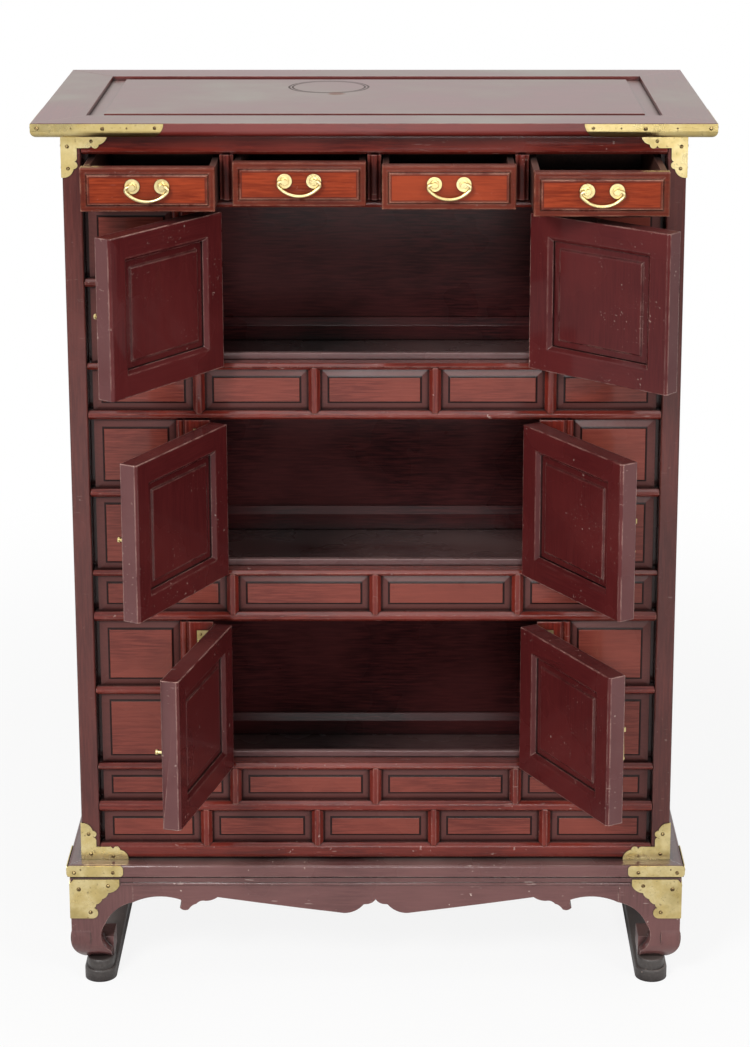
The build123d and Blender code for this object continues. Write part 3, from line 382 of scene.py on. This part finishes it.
def cupStain(tree, place, colour):
    wander = node(tree, "ShaderNodeTexNoise", {"Vector": place, "Scale": 30.0}).outputs["Color"]
    sway, radius, width = cupMark["sway"], cupMark["radius"], cupMark["width"]
    shifted = vectors(tree, "MULTIPLY_ADD", wander, (sway, sway, 0.0), place)
    flat = vectors(tree, "MULTIPLY", shifted, (1.0, 1.0, 0.0))
    centre = (cupMark["centre"][0] + sway / 2, cupMark["centre"][1] + sway / 2, 0.0)
    reach = vectors(tree, "DISTANCE", flat, centre)
    off = maths(tree, "ABSOLUTE", maths(tree, "SUBTRACT", reach, radius))
    line = maths(tree, "ABSOLUTE", maths(tree, "SUBTRACT", off, cupMark["parting"]))
    line = ramp(tree, line, width, width * 0.4)
    broken = ramp(tree, noise(tree, place, 22.0, 4.0, 0.7), 0.24, 0.44, 0.75, 1.0)
    ring = maths(tree, "MULTIPLY", maths(tree, "MULTIPLY", line, broken), 0.92)
    haze = ramp(tree, reach, radius, radius * 0.96, 0.0, 0.14)
    colour = blend(tree, haze, colour, cupMark["inside"])
    colour = blend(tree, ring, colour, cupMark["colour"])
    size = (1 / cupMark["smudgeSize"][0], 1 / cupMark["smudgeSize"][1], 0.0)
    spot = vectors(tree, "SUBTRACT", flat, (*cupMark["smudge"], 0.0))
    far = vectors(tree, "LENGTH", vectors(tree, "MULTIPLY", spot, size))
    ragged = maths(tree, "ADD", far, maths(tree, "MULTIPLY", noise(tree, place, 60.0, 4.0, 0.7), 1.1))
    smudge = ramp(tree, ragged, 1.5, 1.0, 0.0, 0.75)
    marked = maths(tree, "MAXIMUM", ring, smudge)
    return blend(tree, smudge, colour, cupMark["smudgeColour"]), maths(tree, "SUBTRACT", 1.0, marked)


# brass

brassLook = dict(
    bright=(0.64, 0.50, 0.215), pale=(0.78, 0.66, 0.36), dull=(0.36, 0.275, 0.105), brown=(0.17, 0.105, 0.05),
    rough=0.24, bump=0.07, depth=0.3 * mm, hollow=5 * mm,
)
nailLook = dict(dark=(0.11, 0.07, 0.035), rubbed=(0.42, 0.31, 0.14), rough=0.34, bump=0.1, depth=0.2 * mm)


def brass(name, tarnish, polish, dullAbove=None):
    # clouded sheet brass, brown with tarnish where other parts lie against it, which also paints the shade
    # there, and duller above the height given
    material, tree, shader = surface(name)
    place = objectPlace(tree)
    cloud = noise(tree, place, 17.0, 5.0, 0.6)
    patch = noise(tree, place, 45.0, 4.0, 0.65)
    speck = noise(tree, place, 210.0, 3.0, 0.7)
    brushed = noise(tree, stretched(tree, place, "X", 20.0), 60.0, 3.0)
    colour = blend(tree, ramp(tree, patch, 0.36, 0.64, polish, 0.75), brassLook["bright"], brassLook["pale"])
    colour = blend(tree, ramp(tree, cloud, 0.42, 0.68, 0.0, tarnish), colour, brassLook["dull"])
    colour = blend(tree, ramp(tree, speck, 0.60, 0.72, 0.0, tarnish), colour, brassLook["brown"])
    if dullAbove:
        high = ramp(tree, along(tree, place, "Z"), dullAbove - 4 * mm, dullAbove, 0.0, 0.5)
        colour = blend(tree, high, colour, brassLook["dull"])
    # tarnish in the hollows, which also paints the dark shade round the plates' edges and where parts meet
    tarnishAndShade = ramp(tree, openness(tree, brassLook["hollow"]), 0.62, 0.25, 0.0, 0.75)
    colour = blend(tree, tarnishAndShade, colour, brassLook["brown"])
    rough = ramp(tree, cloud, 0.3, 0.8, brassLook["rough"], brassLook["rough"] + 0.2)
    height = maths(tree, "ADD", maths(tree, "MULTIPLY", brushed, 0.5), speck)
    sockets = {"Strength": brassLook["bump"], "Distance": brassLook["depth"], "Height": height}
    bump = node(tree, "ShaderNodeBump", sockets)
    tree.links.new(colour, shader.inputs["Base Color"])
    tree.links.new(rough, shader.inputs["Roughness"])
    tree.links.new(bump.outputs[0], shader.inputs["Normal"])
    shader.inputs["Metallic"].default_value = 1.0
    return material


def nailMetal(name):
    # dark metal, bright in the spots that hands rub
    material, tree, shader = surface(name)
    rub = ramp(tree, noise(tree, objectPlace(tree), 300.0, 3.0, 0.6), 0.45, 0.62)
    colour = blend(tree, rub, nailLook["dark"], nailLook["rubbed"])
    sockets = {"Strength": nailLook["bump"], "Distance": nailLook["depth"], "Height": rub}
    bump = node(tree, "ShaderNodeBump", sockets)
    tree.links.new(colour, shader.inputs["Base Color"])
    tree.links.new(bump.outputs[0], shader.inputs["Normal"])
    shader.inputs["Metallic"].default_value = 1.0
    shader.inputs["Roughness"].default_value = nailLook["rough"]
    return material


plateBrass = brass("plateBrass", 0.65, 0.0, dullAbove=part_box("top_frame")[0][2])
pullBrass = brass("pullBrass", 0.40, 0.2)
nailBrass = nailMetal("nailBrass")


# CAD nodes: finish, grain and softened edges

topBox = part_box("top_frame")
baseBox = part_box("base_moulding")
woods = {
    "corner_posts": ("plum", straightGrain("Z")),
    "side_frames": ("plum", straightGrain("Z")),
    "legs_front": ("plinth", straightGrain("Z")),
    "legs_rear": ("plinth", straightGrain("Z")),
    "base_moulding": ("plinth", mitredGrain(baseBox[1][0], baseBox[0][1], baseBox[1][1])),
    "front_apron": ("plinth", straightGrain("X")),
    "side_and_rear_aprons": ("plinth", straightGrain("Y")),
    "foot_runners": ("runner", straightGrain("Y")),
    "front_rails": ("russet", straightGrain("X")),
    "front_uprights": ("russet", straightGrain("Z")),
    "drawer_dividers": ("russet", straightGrain("Z")),
    "front_panels": ("panel", straightGrain("X")),
    "side_panels": ("panel", straightGrain("Z")),
    "top_frame": ("top", mitredGrain(topBox[1][0], topBox[0][1], topBox[1][1])),
    "top_panel": ("top", straightGrain("X")),
    "back_frame": ("inside", straightGrain("X")),
    "back_panels": ("inside", straightGrain("X", 14.0)),
    "shelves_and_guides": ("shelf", straightGrain("X")),
    "door_stops": ("shelf", straightGrain("X")),
}
doorNames = [(tier, side, name) for tier in ("upper", "middle", "lower")
             for side, name in ((-1, "left"), (1, "right"))]
for tier, side, name in doorNames:
    door = "door_" + tier + "_" + name
    low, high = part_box(door + "_frame")
    grain = doorGrain(door, side, low[2], high[2])
    woods[door + "_frame"] = ("oxblood", grain)
    woods[door + "_panel"] = ("oxblood", grain)
for number in "1234":
    woods["drawer_" + number + "_front"] = ("cherry", straightGrain("X"))
    woods["drawer_" + number + "_box"] = ("drawerBoards", straightGrain("Y"))

edgeSoftening = dict(
    wood=0.7 * mm, doors=0.9 * mm, stand=0.35 * mm, brass=0.3 * mm, weld=0.01 * mm, steps=2,
    corner=math.radians(28),
)


def soften(piece, width):
    weld = piece.modifiers.new("joinCorners", "WELD")
    weld.merge_threshold = edgeSoftening["weld"]
    bevel = piece.modifiers.new("softEdges", "BEVEL")
    bevel.width = width
    bevel.segments = edgeSoftening["steps"]
    bevel.limit_method = "ANGLE"
    bevel.angle_limit = edgeSoftening["corner"]
    bevel.use_clamp_overlap = True
    bevel.harden_normals = True


def finishNode(name, material, width):
    piece = bpy.data.objects[name]
    for place in piece.material_slots:
        place.material = material
    soften(piece, width)


extras = {"top_panel": cupStain, "front_panels": recessShade("front_panels", frontRecessShade["panel"])}
for number in "1234":
    front = "drawer_" + number + "_front"
    extras[front] = recessShade(front, frontRecessShade["drawer"])
for tier, side, name in doorNames:
    door = "door_" + tier + "_" + name
    extras[door + "_frame"] = fadedEdges(door, side)

madeLacquers = {}
for name in sorted(frame["nodes"]):
    if name in woods:
        finish, grain = woods[name]
        key = finish if finish == "drawerBoards" else name
        if key not in madeLacquers:
            madeLacquers[key] = lacquer(key + "Lacquer", lacquers[finish], grain, extras.get(name))
        kind = "doors" if name.startswith("door_") else "stand" if finish == "plinth" else "wood"
        finishNode(name, madeLacquers[key], edgeSoftening[kind])
    else:
        pull = name.endswith(("_bail", "_posts", "_handle"))
        finishNode(name, pullBrass if pull else plateBrass, edgeSoftening["brass"])
print("finishes set:", len(madeLacquers), "lacquers")


# dome-headed nails

# all but the counts are in parts of the dome's radius: how far its rim reaches, how deep its back lies in
# the plate, how high the rim and the dome's foot stand, and how high the dome rises over that foot
nailShape = dict(sides=14, rings=4, flange=1.18, seat=0.15, rim=0.08, foot=0.14, rise=0.55)


def nailProfile(radius):
    flange, foot = nailShape["flange"], nailShape["foot"]
    profile = [(flange, -nailShape["seat"]), (flange, nailShape["rim"]), (1.0, foot)]
    for ring in range(1, nailShape["rings"]):
        angle = ring / nailShape["rings"] * math.pi / 2
        profile.append((math.cos(angle), foot + nailShape["rise"] * math.sin(angle)))
    return [(radius * reach, radius * height) for reach, height in profile]


def addDome(mesh, point, facing, radius):
    # a low dome on a thin rim, its back just inside the plate
    turn = Vector(facing).to_track_quat("Z", "Y").to_matrix().to_4x4()
    place = Matrix.Translation(Vector(point)) @ turn
    sides = nailShape["sides"]
    loops = []
    for reach, height in nailProfile(radius):
        loop = []
        for side in range(sides):
            angle = side / sides * 2 * math.pi
            corner = Vector((reach * math.cos(angle), reach * math.sin(angle), height))
            loop.append(mesh.verts.new(place @ corner))
        loops.append(loop)
    crown = mesh.verts.new(place @ Vector((0, 0, radius * (nailShape["foot"] + nailShape["rise"]))))
    for lower, upper in zip(loops[:-1], loops[1:]):
        for side in range(sides):
            after = (side + 1) % sides
            mesh.faces.new((lower[side], lower[after], upper[after], upper[side]))
    for side in range(sides):
        mesh.faces.new((loops[-1][side], loops[-1][(side + 1) % sides], crown))
    mesh.faces.new(list(reversed(loops[0])))


def nails(name, body, spots):
    # spots: (point, direction that the head faces, radius)
    mesh = bmesh.new()
    for point, facing, radius in spots:
        addDome(mesh, point, facing, radius)
    data = bpy.data.meshes.new(name)
    mesh.to_mesh(data)
    mesh.free()
    data.shade_smooth()
    piece = bpy.data.objects.new(name, data)
    bpy.context.collection.objects.link(piece)
    data.materials.append(nailBrass)
    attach(piece, body)


# half width and front of what each plate lies on
plates = dict(
    thick=1.2 * mm, strap=1.0 * mm, caseHalf=405 * mm, caseFront=-210 * mm,
    topHalf=440 * mm, topFront=-240 * mm, baseHalf=424 * mm, baseFront=-230 * mm,
    legHalf=421 * mm, legFront=-226 * mm,
)

# a plate's own mark, then its nails in mm: distance from the outer corner, height over the mark, dome radius
cornerPlates = {
    "caseFoot": (177 * mm, ((10.8, 38, 2.3), (13.5, 8.6, 2.3), (44.0, 5.3, 2.1))),
    "caseHead": (1192 * mm, ((8.6, -17, 2.2), (40.0, -10, 2.0), (9.2, -46, 2.1))),
    "leg": (154.5 * mm, ((13, -14.5, 2.6), (53.5, -9.5, 2.3), (28.5, -49, 2.4))),
    "baseStrap": (157 * mm, ((10.6, 9.5, 2.4), (64.0, 9.5, 2.3), (19.5, 14.0, 1.0))),
}
# the same for the top's straps, with full heights
topNails = {
    "front": ((9, 1203.6, 2.3), (93, 1203.2, 2.3), (160, 1204.2, 2.0), (52, 1203.8, 1.1), (124, 1203.8, 1.1)),
    "end": ((10, 1203.6, 2.3), (58, 1203.2, 2.2), (104, 1204.0, 2.0)),
}


def cornerNails(plate, on):
    # the same nails on the front and the side plate of both front corners
    height, drops = cornerPlates[plate]
    outer, front = plates[on + "Half"] + plates["thick"], plates[on + "Front"] - plates["thick"]
    spots = []
    for side in (-1, 1):
        for inward, rise, radius in drops:
            z = height + rise * mm
            spots.append(((side * (outer - inward * mm), front, z), (0, -1, 0), radius * mm))
            spots.append(((side * outer, front + inward * mm, z), (side, 0, 0), radius * mm))
    return spots


def topStrapNails():
    outer, front = plates["topHalf"] + plates["strap"], plates["topFront"] - plates["strap"]
    spots = []
    for side in (-1, 1):
        for inward, z, radius in topNails["front"]:
            spots.append(((side * (outer - inward * mm), front, z * mm), (0, -1, 0), radius * mm))
        for inward, z, radius in topNails["end"]:
            spots.append(((side * outer, front + inward * mm, z * mm), (side, 0, 0), radius * mm))
    return spots


nails("case_nails", "case", cornerNails("caseFoot", "case") + cornerNails("caseHead", "case"))
nails("top_strap_nails", "case", topStrapNails())
nails("stand_nails", "case", cornerNails("leg", "leg") + cornerNails("baseStrap", "base"))

# the nails of a leaf stand near and far from the pin, above and below its middle
hinges = dict(
    x=219 * mm, out=3.2 * mm, near=8.5 * mm, far=17.0 * mm, rise=12.5 * mm, drop=30 * mm, head=1.7 * mm,
)
lockPlate = dict(x=17 * mm, rise=34 * mm, head=1.8 * mm)
openings = {"upper": (884 * mm, 1094 * mm), "middle": (596 * mm, 807 * mm), "lower": (318 * mm, 524 * mm)}
plateFront = plates["caseFront"] - plates["thick"]


def leafNails(side, low, high, direction):
    # closed-door places of the nails on the leaves of one door's two hinges
    spots = []
    for middle in (low + hinges["drop"], high - hinges["drop"]):
        for away in (hinges["near"], hinges["far"]):
            for rise in (-hinges["rise"], hinges["rise"]):
                spots.append(Vector((side * (hinges["x"] + direction * away), plateFront, middle + rise)))
    return spots


fixedSpots = []
for tier, side, name in doorNames:
    door = "door_" + tier + "_" + name
    low, high = openings[tier]
    fixedSpots += [(spot, (0, -1, 0), hinges["head"]) for spot in leafNails(side, low, high, 1)]
    pivot = Matrix.Translation(Vector((side * hinges["x"], plates["caseFront"] - hinges["out"], 0)))
    opened = pivot @ Matrix.Rotation(side * doorAngle(door), 4, "Z") @ pivot.inverted()
    facing = opened.to_3x3() @ Vector((0, -1, 0))
    movingSpots = [(opened @ spot, facing, hinges["head"]) for spot in leafNails(side, low, high, -1)]
    if name == "right":
        for rise in (-lockPlate["rise"], lockPlate["rise"]):
            spot = Vector((lockPlate["x"], plateFront, (low + high) / 2 + rise))
            movingSpots.append((opened @ spot, facing, lockPlate["head"]))
    nails(door + "_nails", door, movingSpots)
nails("hinge_leaf_nails", "case", fixedSpots)
print("nails set")


# floor, light and camera

# lift: how much of the floor's white shows by itself within the plain distance; it is all white further out
stageLook = dict(
    radius=40.0, sides=96, plain=0.9, white=2.2, lift=0.88, ambient=0.28,
    colour=(0.93, 0.93, 0.92), fleck=(0.8, 0.8, 0.8), flecks=0.02,
)


def layFloor():
    mesh = bmesh.new()
    bmesh.ops.create_circle(mesh, cap_ends=True, segments=stageLook["sides"], radius=stageLook["radius"])
    data = bpy.data.meshes.new("studioFloor")
    mesh.to_mesh(data)
    mesh.free()
    floor = bpy.data.objects.new("studioFloor", data)
    bpy.context.collection.objects.link(floor)
    material, tree, shader = surface("studioPaper")
    place = objectPlace(tree)
    reach = vectors(tree, "LENGTH", place)
    flecks = ramp(tree, noise(tree, place, 140.0, 3.0), 0.3, 0.7, 0.0, stageLook["flecks"])
    colour = blend(tree, flecks, stageLook["colour"], stageLook["fleck"])
    tree.links.new(colour, shader.inputs["Base Color"])
    shader.inputs["Roughness"].default_value = 0.9
    shader.inputs["Specular IOR Level"].default_value = 0.1
    path = node(tree, "ShaderNodeLightPath")
    fade = ramp(tree, reach, stageLook["plain"], stageLook["white"], stageLook["lift"], 1.0)
    shown = maths(tree, "MULTIPLY", fade, path.outputs["Is Camera Ray"])
    glow = node(tree, "ShaderNodeEmission", {"Color": (1, 1, 1, 1), "Strength": 1.0})
    mixed = node(tree, "ShaderNodeMixShader", {0: shown, 1: shader.outputs[0], 2: glow.outputs[0]})
    tree.links.new(mixed.outputs[0], tree.nodes["Material Output"].inputs["Surface"])
    data.materials.append(material)


def lightRoom():
    world = bpy.data.worlds.new("studioRoom")
    bpy.context.scene.world = world
    world.use_nodes = True
    tree = world.node_tree
    background = tree.nodes["Background"]
    path = node(tree, "ShaderNodeLightPath")
    seen = maths(tree, "ADD", path.outputs["Is Camera Ray"], path.outputs["Is Glossy Ray"])
    seen = maths(tree, "ADD", seen, path.outputs["Is Transmission Ray"], True)
    ambient = stageLook["ambient"]
    strength = maths(tree, "ADD", maths(tree, "MULTIPLY", seen, 1.0 - ambient), ambient)
    background.inputs["Color"].default_value = (1, 1, 1, 1)
    tree.links.new(strength, background.inputs["Strength"])


# place and aim in metres, size in metres, power in watts
lamps = {
    "keySoftbox": dict(place=(-1.7, -3.3, 2.9), aim=(0, 0, 0.65), size=(1.1, 1.1), power=102),
    "fillSoftbox": dict(place=(2.6, -2.8, 2.2), aim=(0, 0, 0.6), size=(1.0, 1.6), power=36),
    "frontLight": dict(place=(0.2, -4.2, 1.3), aim=(0, 0, 0.55), size=(0.9, 0.9), power=34),
    "overhead": dict(place=(0.3, -0.6, 3.8), aim=(0, -0.1, 0.6), size=(2.2, 1.6), power=26),
}


def hangLamp(name, look):
    data = bpy.data.lights.new(name, "AREA")
    data.shape = "RECTANGLE"
    data.size, data.size_y = look["size"]
    data.energy = look["power"]
    lamp = bpy.data.objects.new(name, data)
    bpy.context.collection.objects.link(lamp)
    lamp.location = look["place"]
    lamp.rotation_euler = (Vector(look["aim"]) - lamp.location).to_track_quat("-Z", "Y").to_euler()


# focal length, middle and image in pixels; middle is where the camera's axis meets the picture
cameraLook = dict(
    place=(0.03, -3.64, 1.7802), pitch=0.2370, focal=2686.0, middle=(397.4, 314.1),
    image=(750, 1047), sensor=36.0,
)


def setCamera():
    data = bpy.data.cameras.new("mainCamera")
    camera = bpy.data.objects.new("mainCamera", data)
    bpy.context.collection.objects.link(camera)
    width, height = cameraLook["image"]
    data.sensor_fit = "AUTO"
    data.sensor_width = cameraLook["sensor"]
    data.lens = cameraLook["focal"] / height * cameraLook["sensor"]
    data.shift_x = (width / 2 - cameraLook["middle"][0]) / height
    data.shift_y = (cameraLook["middle"][1] - height / 2) / height
    data.clip_end = 200
    camera.location = cameraLook["place"]
    camera.rotation_euler = (math.pi / 2 - cameraLook["pitch"], 0, 0)
    bpy.context.scene.camera = camera


layFloor()
lightRoom()
for name, look in lamps.items():
    hangLamp(name, look)
setCamera()
bpy.context.scene.view_settings.view_transform = "Standard"
print("stage, light and camera set")
